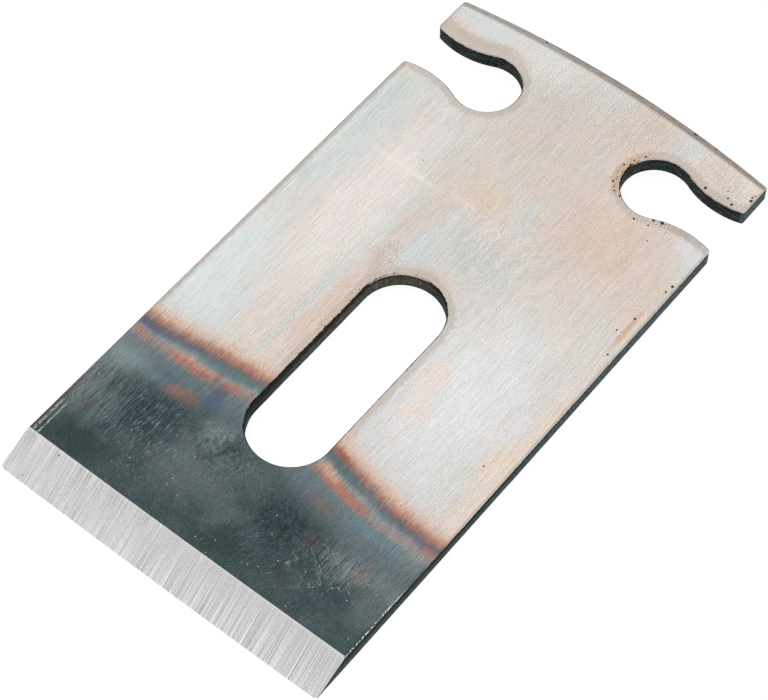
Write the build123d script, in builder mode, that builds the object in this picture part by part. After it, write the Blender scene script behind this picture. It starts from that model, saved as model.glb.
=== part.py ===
import os
from math import radians, sqrt, tan

from build123d import *

# Planer knife of the spokeshave pattern: one flat steel blank, punched, hardened and ground.
# The flat back lies on Z = 0, the cutting edge faces -Y and its bevel faces up. The origin is on
# the back, in the middle of the blade's overall width and length. Sizes are in millimetres and degrees.

# Blank
blade_width = 54.0
blade_length = 102.5  # from the middle of the cutting edge to the crown of the far end
blade_thickness = 2.8
corner_radius = 0.6  # where the sides meet the cutting edge and the near lips of the notches
die_roll = 0.3  # rounding that the punch leaves along the upper edges

# Cutting edge
bevel_angle = 25.0
edge_land = 0.03  # height left square at the edge, before honing
edge_camber = 0.15  # how far the middle of the edge stands ahead of its corners

# Far end, domed and then ground to a slope by hand
crown_radius = 155.0
crown_offset = -1.7  # the crown lies a little to the left of the centre line
far_corner_radius = 0.4  # at both outer corners of each tab beyond a notch
slope_width = 1.5  # width of the sloping band at the crown
slope_angle = 30.0
slope_radius = 198.0  # of the band's inner border, flatter than the dome, so the band tapers to the sides

# Slot for the clamping screw
slot_width = 12.5
slot_length = 35.6  # end to end
slot_from_edge = 21.65  # from the cutting edge to the near end of the slot

# Two open notches for the adjusting nuts
notch_diameter = 10.4
notch_inset = 11.9  # from the blade's side to the centre of the notch
notch_from_crown = 12.65
neck_gap = 6.95  # narrowest place of the mouth
neck_inset = 4.1  # from the blade's side to that narrowest place

# Room by which a cutting shape reaches past what it cuts
overrun = 2.0


def arc_height(radius, across):
    """How far an arc of this radius falls away at a distance across from its crown."""
    return radius - sqrt(radius**2 - across**2)


half_width = blade_width / 2
edge_y = -blade_length / 2
crown_y = blade_length / 2

# The cambered edge is an arc through its two corners and its middle
edge_radius = (half_width**2 + edge_camber**2) / (2 * edge_camber)
edge_corner_y = edge_y + edge_camber

# Each notch is a round seat whose walls turn over, tangent, into two bulging lips
notch_radius = notch_diameter / 2
notch_x = half_width - notch_inset
notch_y = crown_y - notch_from_crown
neck_reach = notch_inset - neck_inset
half_neck = neck_gap / 2
lip_radius = (neck_reach**2 + half_neck**2 - notch_radius**2) / (2 * (notch_radius - half_neck))
lip_centre_y = half_neck + lip_radius
tangent_share = notch_radius / (notch_radius + lip_radius)
tangent_x = notch_x + neck_reach * tangent_share
tangent_y = lip_centre_y * tangent_share
neck_x = notch_x + neck_reach
mouth_x = half_width + overrun
mouth_y = half_neck + arc_height(lip_radius, mouth_x - neck_x)

with BuildPart() as knife_blade:
    # One notch, on the right, open past the blade's side
    with BuildSketch() as notch:
        with BuildLine() as notch_line:
            ThreePointArc(
                (tangent_x, notch_y + tangent_y),
                (notch_x - notch_radius, notch_y),
                (tangent_x, notch_y - tangent_y),
            )
            ThreePointArc(
                (tangent_x, notch_y - tangent_y),
                (neck_x, notch_y - half_neck),
                (mouth_x, notch_y - mouth_y),
            )
            Line((mouth_x, notch_y - mouth_y), (mouth_x, notch_y + mouth_y))
            ThreePointArc(
                (mouth_x, notch_y + mouth_y),
                (neck_x, notch_y + half_neck),
                (tangent_x, notch_y + tangent_y),
            )
        make_face()

    # Outline of the blank, with its slot and both notches
    with BuildSketch() as outline:
        left_far_y = crown_y - arc_height(crown_radius, half_width + crown_offset)
        right_far_y = crown_y - arc_height(crown_radius, half_width - crown_offset)
        with BuildLine() as outline_line:
            ThreePointArc((-half_width, edge_corner_y), (0, edge_y), (half_width, edge_corner_y))
            Line((half_width, edge_corner_y), (half_width, right_far_y))
            ThreePointArc((half_width, right_far_y), (crown_offset, crown_y), (-half_width, left_far_y))
            Line((-half_width, left_far_y), (-half_width, edge_corner_y))
        make_face()
        add(notch.sketch, mode=Mode.SUBTRACT)
        mirror(notch.sketch, about=Plane.YZ, mode=Mode.SUBTRACT)
        left_corners = outline.vertices().group_by(Axis.X)[0].sort_by(Axis.Y)
        right_corners = outline.vertices().group_by(Axis.X)[-1].sort_by(Axis.Y)
        fillet(left_corners[:2] + right_corners[:2], radius=corner_radius)
        left_tab = outline.vertices().group_by(Axis.X)[0].sort_by(Axis.Y)[-2:]
        right_tab = outline.vertices().group_by(Axis.X)[-1].sort_by(Axis.Y)[-2:]
        fillet(left_tab + right_tab, radius=far_corner_radius)
        with Locations((0, edge_y + slot_from_edge + slot_length / 2)):
            SlotOverall(slot_length, slot_width, rotation=90, mode=Mode.SUBTRACT)
    extrude(outline.sketch, amount=blade_thickness)

    # Rounding left by the punch round every upper edge, holes and notches too
    upper_edges = knife_blade.faces().sort_by(Axis.Z)[-1].edges()
    fillet(upper_edges, radius=die_roll)

    # Bevel of the cutting edge, ground along the camber
    bevel_rise = tan(radians(bevel_angle))
    bevel_run = (blade_thickness - edge_land) / bevel_rise
    with BuildSketch(Plane.YZ) as bevel_stock:
        with BuildLine() as bevel_line:
            Polyline(
                (edge_y - overrun, edge_land - overrun * bevel_rise),
                (edge_y + bevel_run + overrun, blade_thickness + overrun * bevel_rise),
                (edge_y - overrun, blade_thickness + overrun * bevel_rise),
                close=True,
            )
        make_face()
    edge_axis = Axis((0, edge_y + edge_radius, 0), (0, 0, 1))
    revolve(bevel_stock.sketch, axis=edge_axis, mode=Mode.SUBTRACT)

    # Sloping band along the domed far end
    slope_rise = tan(radians(slope_angle))
    slope_reach = blade_thickness / slope_rise
    slope_top_y = crown_y - slope_width
    with BuildSketch(Plane.YZ.offset(crown_offset)) as slope_stock:
        with BuildLine() as slope_line:
            Polyline(
                (slope_top_y - overrun, blade_thickness + overrun * slope_rise),
                (slope_top_y + slope_reach, 0),
                (slope_top_y + slope_reach, blade_thickness + overrun * slope_rise),
                close=True,
            )
        make_face()
    slope_axis = Axis((crown_offset, slope_top_y - slope_radius, 0), (0, 0, 1))
    revolve(slope_stock.sketch, axis=slope_axis, mode=Mode.SUBTRACT)

knife_blade.part.label = "knife_blade"

os.makedirs("parts", exist_ok=True)
export_step(knife_blade.part, "parts/knife_blade.step")
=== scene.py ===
# Planer knife of the spokeshave pattern, dressed for its portrait: the worn steel blank, its ground
# bevel and far end, the heat tint of its hardening, the floor, the light and the camera.
# Sizes are in metres. X runs across the blade, -Y points to the cutting edge and +Z is up.

from math import asin, atan2, cos, hypot, pi, radians, sin, sqrt, tan

import bmesh
import bpy
from bpy.props import FloatProperty, FloatVectorProperty, PointerProperty
from bpy.types import Operator, Panel, PropertyGroup
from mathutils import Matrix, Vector


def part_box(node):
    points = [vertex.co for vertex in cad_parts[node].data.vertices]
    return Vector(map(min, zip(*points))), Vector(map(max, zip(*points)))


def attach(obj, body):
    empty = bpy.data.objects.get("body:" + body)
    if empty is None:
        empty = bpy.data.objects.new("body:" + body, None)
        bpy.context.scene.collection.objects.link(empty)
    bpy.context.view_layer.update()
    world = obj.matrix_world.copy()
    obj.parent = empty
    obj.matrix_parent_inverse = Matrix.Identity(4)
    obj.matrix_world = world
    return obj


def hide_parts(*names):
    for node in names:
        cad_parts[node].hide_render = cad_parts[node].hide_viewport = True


bl_info = {
    "name": "Planer knife",
    "version": (1, 0, 0),
    "blender": (4, 5, 0),
    "location": "3D View > Sidebar > Planer knife",
    "description": "Models and finishes a worn planer knife with a heat-tinted cutting end",
    "category": "Object",
}

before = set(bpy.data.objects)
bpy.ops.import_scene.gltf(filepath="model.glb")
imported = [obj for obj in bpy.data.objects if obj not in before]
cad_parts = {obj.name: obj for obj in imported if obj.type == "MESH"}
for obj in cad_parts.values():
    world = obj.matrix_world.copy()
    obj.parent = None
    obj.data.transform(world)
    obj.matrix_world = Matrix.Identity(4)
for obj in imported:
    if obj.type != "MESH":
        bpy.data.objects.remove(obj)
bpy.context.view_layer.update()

CAD_NODE = "knife_blade"
BLADE_NAME = "worn_blade"
MM = 0.001
# Outlines that come back to their start within this are joined
JOIN_WITHIN = 0.02 * MM
# Lengths below this count as nothing
TINY = MM / 1000
# Room by which a cutting shape reaches past what it cuts
OVERRUN = 2 * MM
# A straight edge of the outline may be this many times as long as the spacing
STRAIGHT_SPACING = 1.5
# The fewest straight pieces in a round stretch of an outline
FEWEST_STEPS = 3
# Rings of faces in the walls and in their rounded upper edges
WALL_RINGS = 7
ROLL_RINGS = 8
# Upward part of the direction of a face that counts as nearly level, and as level
NEARLY_LEVEL = 0.9
LEVEL = 0.9999
# Steps in which the two grinding shapes sweep round
BEVEL_STEPS = 60
SLOPE_STEPS = 120
# Edges blunter than this are shaded smooth
SMOOTH_BELOW = radians(20)
# Clouds in which the edges wear: their size, and their share of the wear
WEAR_CLOUDS = ((0.5 * MM, 0.4), (1.9 * MM, 0.6))
LOW_CORNER, HIGH_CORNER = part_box(CAD_NODE)
EDGE_Y = LOW_CORNER[1]
CROWN_Y = HIGH_CORNER[1]


def length(name, words, default):
    """A length that a user can change."""
    return FloatProperty(name=name, description=words, default=default, unit="LENGTH")


def angle(name, words, default):
    """An angle that a user can change."""
    return FloatProperty(name=name, description=words, default=default, subtype="ANGLE")


def shade(name, words, default):
    """A colour that a user can change."""
    return FloatVectorProperty(name=name, description=words, default=default, size=4, subtype="COLOR")


class BladeSizes(PropertyGroup):
    """Sizes of the steel blank and of what was punched and ground in it."""

    width: length("Width", "Width of the blade across its cutting edge", HIGH_CORNER[0] - LOW_CORNER[0])
    thickness: length("Thickness", "Thickness of the steel blank", HIGH_CORNER[2] - LOW_CORNER[2])
    edge_camber: length(
        "Edge camber", "How far the middle of the edge stands ahead of its corners", 0.15 * MM
    )
    edge_land: length("Edge land", "Height left square at the cutting edge", 0.03 * MM)
    bevel_angle: angle("Bevel angle", "Angle of the ground bevel to the flat back", radians(25))
    crown_radius: length("Crown radius", "Radius of the domed far end", 155 * MM)
    crown_offset: length("Crown offset", "How far the crown lies from the centre line", -1.7 * MM)
    slope_width: length("Slope width", "Width of the sloping band at the crown", 1.5 * MM)
    slope_radius: length("Slope radius", "Radius of the inner border of the sloping band", 198 * MM)
    slope_angle: angle("Slope angle", "Angle by which the band at the far end falls away", radians(30))
    slot_width: length("Slot width", "Width of the slot for the clamping screw", 12.5 * MM)
    slot_length: length("Slot length", "Length of the slot from end to end", 35.6 * MM)
    slot_from_edge: length(
        "Slot from edge", "Distance from the cutting edge to the near end of the slot", 21.65 * MM
    )
    notch_radius: length("Notch radius", "Radius of the round seat of each side notch", 5.2 * MM)
    notch_inset: length("Notch inset", "Distance from the blade's side to the centre of a notch", 11.9 * MM)
    notch_from_crown: length(
        "Notch from crown", "Distance from the crown to the centre of a notch", 12.65 * MM
    )
    neck_gap: length("Neck gap", "Narrowest place of a notch's mouth", 6.95 * MM)
    neck_inset: length(
        "Neck inset", "Distance from the blade's side to the narrowest place of the mouth", 4.1 * MM
    )
    corner_radius: length(
        "Corner radius", "Rounding at the edge corners and at the near lips of the notches", 0.6 * MM
    )
    far_corner_radius: length(
        "Far corner radius", "Rounding at both outer corners of each tab beyond a notch", 0.4 * MM
    )
    die_roll: length("Die roll", "Rounding that the punch left along the upper edges", 0.3 * MM)
    lower_break: length("Lower break", "Small chamfer along the lower edges", 0.08 * MM)
    wear_depth: length("Wear depth", "Most that wear and scale take from walls and rounded edges", 0.06 * MM)
    spacing: length("Spacing", "Longest mesh edge along the outline", 0.28 * MM)


def deselect_all():
    """Leave nothing selected and no active object in the way of the next operator."""
    bpy.ops.object.select_all(action="DESELECT")


def pick(piece):
    """Select just this object and make it the active one."""
    deselect_all()
    piece.select_set(True)
    bpy.context.view_layer.objects.active = piece


def pull(across, along, up=0):
    """Extrude what is selected by this much along X, Y and Z."""
    bpy.ops.mesh.extrude_region_move(TRANSFORM_OT_translate={"value": (across, along, up)})


def swing(centre, height, sweep, steps):
    """Extrude what is selected anticlockwise round an upright axis."""
    bpy.ops.mesh.spin(
        steps=steps,
        angle=-sweep,
        center=(centre.x, centre.y, height),
        axis=(0, 0, 1),
        use_auto_merge=False,
    )


def face_outwards():
    """Turn every face of the mesh that is being edited outwards."""
    bpy.ops.mesh.select_all(action="SELECT")
    bpy.ops.mesh.normals_make_consistent(inside=False)


def begin_point(name, place):
    """A new mesh object in edit mode with one point, from which a profile is drawn."""
    deselect_all()
    bpy.ops.mesh.primitive_plane_add(size=MM, location=place)
    piece = bpy.context.object
    piece.name = name
    bpy.ops.object.transform_apply(location=True, rotation=True, scale=True)
    bpy.ops.object.mode_set(mode="EDIT")
    bpy.ops.mesh.select_mode(type="VERT")
    bpy.ops.mesh.select_all(action="SELECT")
    bpy.ops.mesh.merge(type="CENTER")
    return piece


def add_point(place):
    """One more loose point in the mesh that is being edited, left selected alone."""
    bpy.ops.mesh.select_all(action="DESELECT")
    bpy.ops.mesh.primitive_plane_add(size=MM, location=place)
    bpy.ops.mesh.merge(type="CENTER")


def select_points(piece, wanted):
    """Select just the points that wanted(place) accepts."""
    bpy.ops.mesh.select_mode(type="VERT")
    bpy.ops.mesh.select_all(action="DESELECT")
    mesh = bmesh.from_edit_mesh(piece.data)
    for vert in mesh.verts:
        vert.select_set(wanted(vert.co))
    mesh.select_flush_mode()
    bmesh.update_edit_mesh(piece.data)


def select_level_faces(piece, height, facing):
    """Select just the level faces at this height that face up, 1, or down, -1."""
    bpy.ops.mesh.select_mode(type="FACE")
    bpy.ops.mesh.select_all(action="DESELECT")
    mesh = bmesh.from_edit_mesh(piece.data)
    mesh.normal_update()
    for face in mesh.faces:
        if abs(face.calc_center_median().z - height) < TINY and face.normal.z * facing > NEARLY_LEVEL:
            face.select_set(True)
    mesh.select_flush_mode()
    bmesh.update_edit_mesh(piece.data)


class Turn:
    """A round stretch of an outline: its centre, its radius, and the angles where it starts and ends."""

    def __init__(self, centre, radius, start, end):
        self.centre = Vector(centre)
        self.radius = radius
        self.start = start
        self.end = end

    def point(self, heading):
        """Where the stretch lies in this direction from its centre."""
        return self.centre + self.radius * Vector((cos(heading), sin(heading)))

    def mirrored(self):
        """The same stretch on the other side of X = 0, followed the other way."""
        centre = (-self.centre.x, self.centre.y)
        return Turn(centre, self.radius, pi - self.end, pi - self.start)


def follow(turns, height, spacing):
    """Draw a closed outline straight to each turn and then round it, from the selected point at its start."""
    start = turns[0].point(turns[0].start)
    here = start
    for turn in turns:
        ahead = turn.point(turn.start) - here
        if ahead.length > TINY:
            pull(*ahead)
        sweep = turn.end - turn.start
        steps = max(FEWEST_STEPS, round(abs(sweep) * turn.radius / spacing))
        swing(turn.centre, height, sweep, steps)
        here = turn.point(turn.end)
    pull(*(start - here))


def corner_turn(bulge_centre, bulge_radius, radius, side, above):
    """Rounding between the blade's right side and a bulging arc: its centre, and its direction on the arc."""
    across = side - radius - bulge_centre[0]
    along = sqrt((bulge_radius - radius) ** 2 - across**2)
    if not above:
        along = -along
    centre = (side - radius, bulge_centre[1] + along)
    return centre, atan2(along, across)


def notch_circles(sizes):
    """The right notch's round seat, and the two lips that bulge into its mouth, near and far."""
    side = sizes.width / 2
    seat = (side - sizes.notch_inset, CROWN_Y - sizes.notch_from_crown)
    reach = sizes.notch_inset - sizes.neck_inset
    half_neck = sizes.neck_gap / 2
    lip_radius = (reach**2 + half_neck**2 - sizes.notch_radius**2) / (2 * (sizes.notch_radius - half_neck))
    lip_rise = half_neck + lip_radius
    near_lip = (seat[0] + reach, seat[1] - lip_rise)
    far_lip = (seat[0] + reach, seat[1] + lip_rise)
    seat_angle = atan2(lip_rise, reach)
    _, near_angle = corner_turn(near_lip, lip_radius, sizes.corner_radius, side, True)
    _, far_angle = corner_turn(far_lip, lip_radius, sizes.far_corner_radius, side, False)
    lips = (
        Turn(near_lip, lip_radius, near_angle, pi - seat_angle),
        Turn(far_lip, lip_radius, seat_angle - pi, far_angle),
    )
    return Turn(seat, sizes.notch_radius, 2 * pi - seat_angle, seat_angle), lips


def notch_turns(sizes, side):
    """The right notch from the near side to the far side: corner, lip, seat, lip, corner."""
    seat, (near_lip, far_lip) = notch_circles(sizes)
    near_corner, near_angle = corner_turn(near_lip.centre, near_lip.radius, sizes.corner_radius, side, True)
    far_corner, far_angle = corner_turn(far_lip.centre, far_lip.radius, sizes.far_corner_radius, side, False)
    return [
        Turn(near_corner, sizes.corner_radius, 0, near_angle),
        near_lip,
        seat,
        far_lip,
        Turn(far_corner, sizes.far_corner_radius, far_angle, 0),
    ]


def edge_arc(sizes):
    """Centre and radius of the cambered cutting edge."""
    half_width = sizes.width / 2
    radius = (half_width**2 + sizes.edge_camber**2) / (2 * sizes.edge_camber)
    return (0, EDGE_Y + radius), radius


def outline_turns(sizes):
    """The blade's outer outline, anticlockwise from the left end of the cutting edge."""
    side = sizes.width / 2
    edge_centre, edge_radius = edge_arc(sizes)
    edge_corner, edge_angle = corner_turn(edge_centre, edge_radius, sizes.corner_radius, side, False)
    crown = (sizes.crown_offset, CROWN_Y - sizes.crown_radius)
    right_far, right_angle = corner_turn(crown, sizes.crown_radius, sizes.far_corner_radius, side, True)
    flipped = (-crown[0], crown[1])
    left_far, left_angle = corner_turn(flipped, sizes.crown_radius, sizes.far_corner_radius, side, True)
    front_corner = Turn(edge_corner, sizes.corner_radius, edge_angle, 0)
    notch = notch_turns(sizes, side)
    return [
        Turn(edge_centre, edge_radius, -pi - edge_angle, edge_angle),
        front_corner,
        *notch,
        Turn(right_far, sizes.far_corner_radius, 0, right_angle),
        Turn(crown, sizes.crown_radius, right_angle, pi - left_angle),
        Turn(left_far, sizes.far_corner_radius, 0, left_angle).mirrored(),
        *[turn.mirrored() for turn in reversed(notch)],
        front_corner.mirrored(),
    ]


def slot_turns(sizes):
    """The slot's outline, anticlockwise from its near right shoulder."""
    radius = sizes.slot_width / 2
    near_y = EDGE_Y + sizes.slot_from_edge + radius
    far_y = near_y + sizes.slot_length - sizes.slot_width
    return [
        Turn((0, far_y), radius, 0, pi),
        Turn((0, near_y), radius, pi, 2 * pi),
    ]


def halve_long_edges(piece, longest):
    """Halve the straight edges until none is longer than this."""
    bpy.ops.mesh.select_mode(type="EDGE")
    while True:
        mesh = bmesh.from_edit_mesh(piece.data)
        bpy.ops.mesh.select_all(action="DESELECT")
        found = False
        for edge in mesh.edges:
            if edge.calc_length() > longest:
                edge.select_set(True)
                found = True
        bmesh.update_edit_mesh(piece.data)
        if not found:
            return
        bpy.ops.mesh.subdivide(number_cuts=1)


def draw_blank(sizes):
    """The flat outline of the blank with its slot, filled, just above the lower edge's chamfer."""
    height = sizes.lower_break
    outline = outline_turns(sizes)
    start = outline[0].point(outline[0].start)
    blade = begin_point("blade", (start.x, start.y, height))
    follow(outline, height, sizes.spacing)
    slot = slot_turns(sizes)
    shoulder = slot[0].point(slot[0].start)
    add_point((shoulder.x, shoulder.y, height))
    follow(slot, height, sizes.spacing)
    # Join the last point of each outline to its first, which it has come back to
    bpy.ops.mesh.select_all(action="SELECT")
    bpy.ops.mesh.remove_doubles(threshold=JOIN_WITHIN)
    halve_long_edges(blade, sizes.spacing * STRAIGHT_SPACING)
    bpy.ops.mesh.select_all(action="SELECT")
    bpy.ops.mesh.fill(use_beauty=True)
    return blade


def raise_walls(sizes):
    """Pull the filled outline up into walls, in rings that wear can dent."""
    top = sizes.thickness - sizes.die_roll
    rise = (top - sizes.lower_break) / WALL_RINGS
    bpy.ops.mesh.select_mode(type="FACE")
    bpy.ops.mesh.select_all(action="SELECT")
    for _ in range(WALL_RINGS):
        pull(0, 0, rise)
    face_outwards()


def round_upper_edges(blade, sizes):
    """Roll the upper edges over in a quarter round, and leave a narrow flat ring inside it."""
    select_level_faces(blade, sizes.thickness - sizes.die_roll, 1)
    for ring in range(ROLL_RINGS):
        near = pi / 2 * ring / ROLL_RINGS
        far = pi / 2 * (ring + 1) / ROLL_RINGS
        inward = sizes.die_roll * (cos(near) - cos(far))
        upward = sizes.die_roll * (sin(far) - sin(near))
        bpy.ops.mesh.inset(thickness=inward, depth=upward, use_even_offset=True)
    bpy.ops.mesh.inset(thickness=sizes.die_roll / 2, depth=0, use_even_offset=True)


def break_lower_edges(blade, sizes):
    """Chamfer the lower edges down to the flat back."""
    select_level_faces(blade, sizes.lower_break, -1)
    bpy.ops.mesh.inset(thickness=sizes.lower_break, depth=sizes.lower_break, use_even_offset=True)


def wear_edges(blade, sizes):
    """Dent the walls and the rounded edges inwards with an uneven wear."""
    # The level faces themselves stay as they are
    margin = sizes.die_roll / 20
    select_points(blade, lambda place: margin < place.z < sizes.thickness - margin)
    bpy.ops.object.vertex_group_add()
    bpy.ops.object.vertex_group_assign()
    blade.vertex_groups.active.name = "worn"
    bpy.ops.object.mode_set(mode="OBJECT")
    for size, share in WEAR_CLOUDS:
        pattern = bpy.data.textures.new("wear", "CLOUDS")
        pattern.noise_scale = size
        pattern.noise_depth = 2
        bpy.ops.object.modifier_add(type="DISPLACE")
        dent = blade.modifiers[-1]
        dent.texture = pattern
        dent.texture_coords = "LOCAL"
        dent.vertex_group = "worn"
        dent.strength = sizes.wear_depth * share
        dent.mid_level = 1
        bpy.ops.object.modifier_apply(modifier=dent.name)


def spin_wheel(name, corners, centre, sweep, steps):
    """A grinding shape: a triangle in the YZ plane, swept about an upright axis to both sides."""
    centre = Vector(centre)
    turned = []
    for y, z in corners:
        reach = Vector((centre.x, y)) - centre
        x = reach.x * cos(-sweep) - reach.y * sin(-sweep)
        y = reach.x * sin(-sweep) + reach.y * cos(-sweep)
        turned.append(Vector((centre.x + x, centre.y + y, z)))
    wheel = begin_point(name, turned[0])
    for here, there in ((0, 1), (1, 2), (2, 0)):
        pull(*(turned[there] - turned[here]))
    bpy.ops.mesh.select_all(action="SELECT")
    bpy.ops.mesh.remove_doubles(threshold=TINY)
    bpy.ops.mesh.edge_face_add()
    swing(centre, 0, 2 * sweep, steps)
    face_outwards()
    bpy.ops.object.mode_set(mode="OBJECT")
    return wheel


def grind_away(blade, wheel):
    """Cut the wheel's shape out of the blade and put the wheel away."""
    faces_before = len(blade.data.polygons)
    pick(blade)
    bpy.ops.object.modifier_add(type="BOOLEAN")
    cut = blade.modifiers[-1]
    cut.operation = "DIFFERENCE"
    cut.solver = "EXACT"
    cut.object = wheel
    bpy.ops.object.modifier_apply(modifier=cut.name)
    if len(blade.data.polygons) < faces_before / 2:
        raise RuntimeError(wheel.name + " took away more than it should")
    deselect_all()
    wheel.select_set(True)
    bpy.ops.object.delete()


def grind_bevel(blade, sizes):
    """Grind the bevel of the cutting edge along its camber."""
    rise = tan(sizes.bevel_angle)
    run = (sizes.thickness - sizes.edge_land) / rise
    top = sizes.thickness + OVERRUN * rise
    corners = (
        (EDGE_Y - OVERRUN, sizes.edge_land - OVERRUN * rise),
        (EDGE_Y + run + OVERRUN, top),
        (EDGE_Y - OVERRUN, top),
    )
    centre, radius = edge_arc(sizes)
    sweep = asin((sizes.width / 2 + OVERRUN) / radius)
    grind_away(blade, spin_wheel("bevel_wheel", corners, centre, sweep, BEVEL_STEPS))


def grind_slope(blade, sizes):
    """Grind the sloping band along the domed far end."""
    rise = tan(sizes.slope_angle)
    reach = sizes.thickness / rise
    start = CROWN_Y - sizes.slope_width
    top = sizes.thickness + OVERRUN * rise
    corners = ((start - OVERRUN, top), (start + reach, 0), (start + reach, top))
    centre = (sizes.crown_offset, start - sizes.slope_radius)
    sweep = asin((sizes.width / 2 + 2 * OVERRUN) / sizes.slope_radius)
    grind_away(blade, spin_wheel("slope_wheel", corners, centre, sweep, SLOPE_STEPS))


# Rust pits of the upper face, round the right notch and along the right side: X, Y from the cutting
# edge and radius, in millimetres
PITS = (
    (9.0, 90.3, 0.15), (9.75, 90.8, 0.18), (9.7, 91.8, 0.13), (10.6, 93.3, 0.16), (9.5, 87.0, 0.17),
    (10.15, 86.3, 0.12), (10.6, 85.75, 0.14), (9.6, 89.1, 0.12), (11.7, 85.4, 0.14), (20.3, 94.1, 0.22),
    (23.8, 94.6, 0.15), (24.8, 94.0, 0.2), (26.55, 96.2, 0.2), (26.4, 96.8, 0.16), (26.55, 97.25, 0.12),
    (23.1, 95.6, 0.1), (15.6, 83.5, 0.16), (17.8, 83.8, 0.14), (17.9, 85.0, 0.2), (19.1, 85.35, 0.25),
    (19.2, 81.6, 0.11), (25.5, 70.0, 0.17), (24.6, 67.0, 0.13), (26.0, 63.0, 0.15), (26.4, 77.5, 0.2),
    (26.2, 76.2, 0.15), (23.6, 38.8, 0.13),
)
BEVEL_PITS = ((-23.7, 0.9, 0.12), (-21.0, 5.35, 0.13))
# Pits in the slope of the far end: X, Y from the cutting edge, height and radius, in millimetres
SLOPE_PITS = ((13.6, 101.3, 2.28, 0.3), (17.4, 101.1, 2.26, 0.2), (-13.0, 101.55, 2.2, 0.2))
# A pit's length along the blade and its depth, in shares of its radius
PIT_LENGTH = 1.2
PIT_DEPTH = 1 / 3
SLOPE_PIT_DEPTH = 1 / 2


def bite_away(blade, sizes):
    """Take the rust pits out of the blade."""
    deselect_all()
    bites = []
    for x, y, radius in (*PITS, *BEVEL_PITS):
        # A flat ball, sunk to half of its height in the upper face or the bevel
        height = min(sizes.thickness, sizes.edge_land + y * MM * tan(sizes.bevel_angle))
        bites.append(((x, y, height / MM), (radius, radius * PIT_LENGTH, radius * PIT_DEPTH)))
    for x, y, height, radius in SLOPE_PITS:
        bites.append(((x, y, height), (radius, radius, radius * SLOPE_PIT_DEPTH)))
    balls = []
    for (x, y, z), reach in bites:
        place = (x * MM, EDGE_Y + y * MM, z * MM)
        bpy.ops.mesh.primitive_ico_sphere_add(subdivisions=2, radius=MM, location=place)
        bpy.context.object.scale = reach
        balls.append(bpy.context.object)
    for ball in balls:
        ball.select_set(True)
    bpy.ops.object.join()
    grind_away(blade, bpy.context.object)


class KNIFE_OT_blade(Operator):
    """Model the blade: punched blank, rounded and worn edges, ground bevel and far end"""

    bl_idname = "knife.blade"
    bl_label = "Blade"
    bl_options = {"REGISTER", "UNDO"}

    def execute(self, context):
        sizes = context.scene.blade_sizes
        blade = draw_blank(sizes)
        raise_walls(sizes)
        round_upper_edges(blade, sizes)
        break_lower_edges(blade, sizes)
        wear_edges(blade, sizes)
        grind_bevel(blade, sizes)
        grind_slope(blade, sizes)
        bite_away(blade, sizes)
        pick(blade)
        bpy.ops.object.shade_smooth_by_angle(angle=SMOOTH_BELOW)
        blade.name = BLADE_NAME
        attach(blade, "root")
        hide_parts(CAD_NODE)
        return {"FINISHED"}


def tone(red, green, blue):
    """A colour as it looks on a screen, 0 to 255, as the linear values that a shader takes."""
    linear = []
    for value in (red, green, blue):
        share = value / 255
        linear.append(share / 12.92 if share <= 0.04045 else ((share + 0.055) / 1.055) ** 2.4)
    return (*linear, 1)


class FinishColours(PropertyGroup):
    """Main colours of the worn steel."""

    steel: shade("Bare steel", "Brushed steel of the upper face", tone(224, 212, 203))
    oxide: shade("Oxide", "Dark oxide of the hardened end", tone(64, 78, 81))
    scale: shade("Scale", "Dark scale on the punched walls", tone(30, 43, 43))
    bevel: shade("Bevel", "Freshly ground steel of the bevel", tone(214, 212, 211))


# Sockets of a colour Mix node
MIX_BELOW = 6
MIX_ABOVE = 7
MIX_RESULT = 2
# Stains narrower than this, in millimetres, keep their place more closely
SMALL_STAIN = 3
# Farther than anything on the blade, in millimetres
FAR = 1000
# Mirror strength of rust and scale, which hardly shine
DULL = 0.08
WHITE = (1, 1, 1, 1)


class Nodes:
    """A node tree being made."""

    def __init__(self, tree):
        self.tree = tree

    def fill(self, node, inputs):
        """Set or link sockets of a node."""
        for socket, value in inputs.items():
            if isinstance(value, bpy.types.NodeSocket):
                self.tree.links.new(value, node.inputs[socket])
            else:
                node.inputs[socket].default_value = value

    def add(self, kind, inputs, output=0, **settings):
        """Add a node, set or link its sockets, and give one of its outputs."""
        node = self.tree.nodes.new(kind)
        for name, value in settings.items():
            setattr(node, name, value)
        self.fill(node, inputs)
        return node.outputs[output]

    def math(self, operation, first, second=0.0, third=0.0):
        """One sum, of the kinds that a Math node knows."""
        return self.add("ShaderNodeMath", {0: first, 1: second, 2: third}, operation=operation)

    def minus(self, first, second):
        """One value less another."""
        return self.math("SUBTRACT", first, second)

    def times(self, total, *others):
        """All values multiplied."""
        for value in others:
            total = self.math("MULTIPLY", total, value)
        return total

    def most(self, total, *others):
        """The greatest of the values."""
        for value in others:
            total = self.math("MAXIMUM", total, value)
        return total

    def weighed(self, pattern, share):
        """A pattern around 0.5 that a share of 0 flattens to 0.5."""
        return self.math("MULTIPLY_ADD", self.minus(pattern, 0.5), share, 0.5)

    def fade(self, value, start, end, low=0.0, high=1.0):
        """A smooth step from low to high while value goes from start to end."""
        return self.add(
            "ShaderNodeMapRange",
            {"Value": value, "From Min": start, "From Max": end, "To Min": low, "To Max": high},
            interpolation_type="SMOOTHSTEP",
        )


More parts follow.
